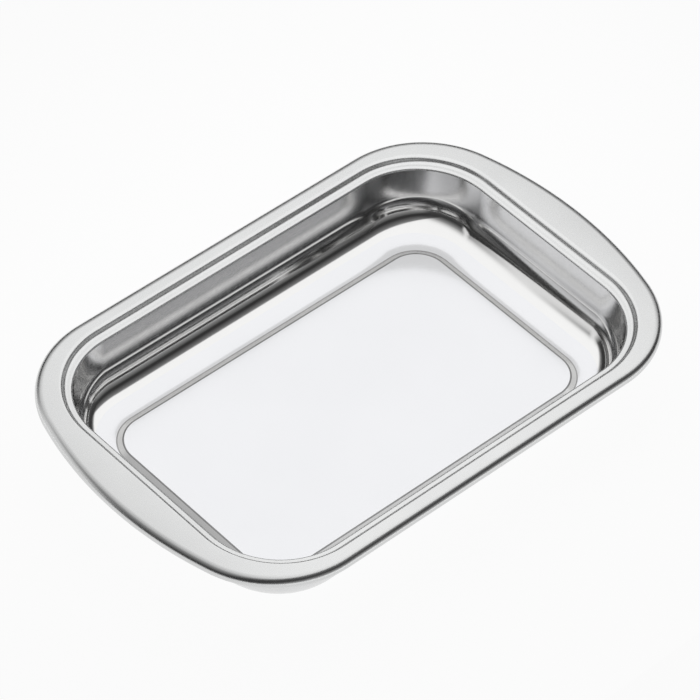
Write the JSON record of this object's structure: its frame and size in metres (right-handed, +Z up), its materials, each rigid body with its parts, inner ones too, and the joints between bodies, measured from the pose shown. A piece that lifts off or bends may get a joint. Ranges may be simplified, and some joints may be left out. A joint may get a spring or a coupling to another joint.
{
  "type": "rectangular cake pan",
  "caption": "Rectangular steel cake pan with round corners, a step inside the rim, a raised floor panel, a rolled wired edge and flat handle flanges at its ends.",
  "frame": {"origin": "middle of the footprint, on the surface that the pan stands on", "axes": "+X along the length towards one handle end, +Y across the width, +Z up out of the pan"},
  "size_m": [0.358, 0.2336, 0.0492],
  "materials": {
    "pan_steel": "polished inside, fine satin on the rim",
    "wire_steel": "plain drawn wire"
  },
  "bodies": {
    "root": {"pan_shell": "pan_steel", "rim_wire": "wire_steel"}
  },
  "joints": []
}
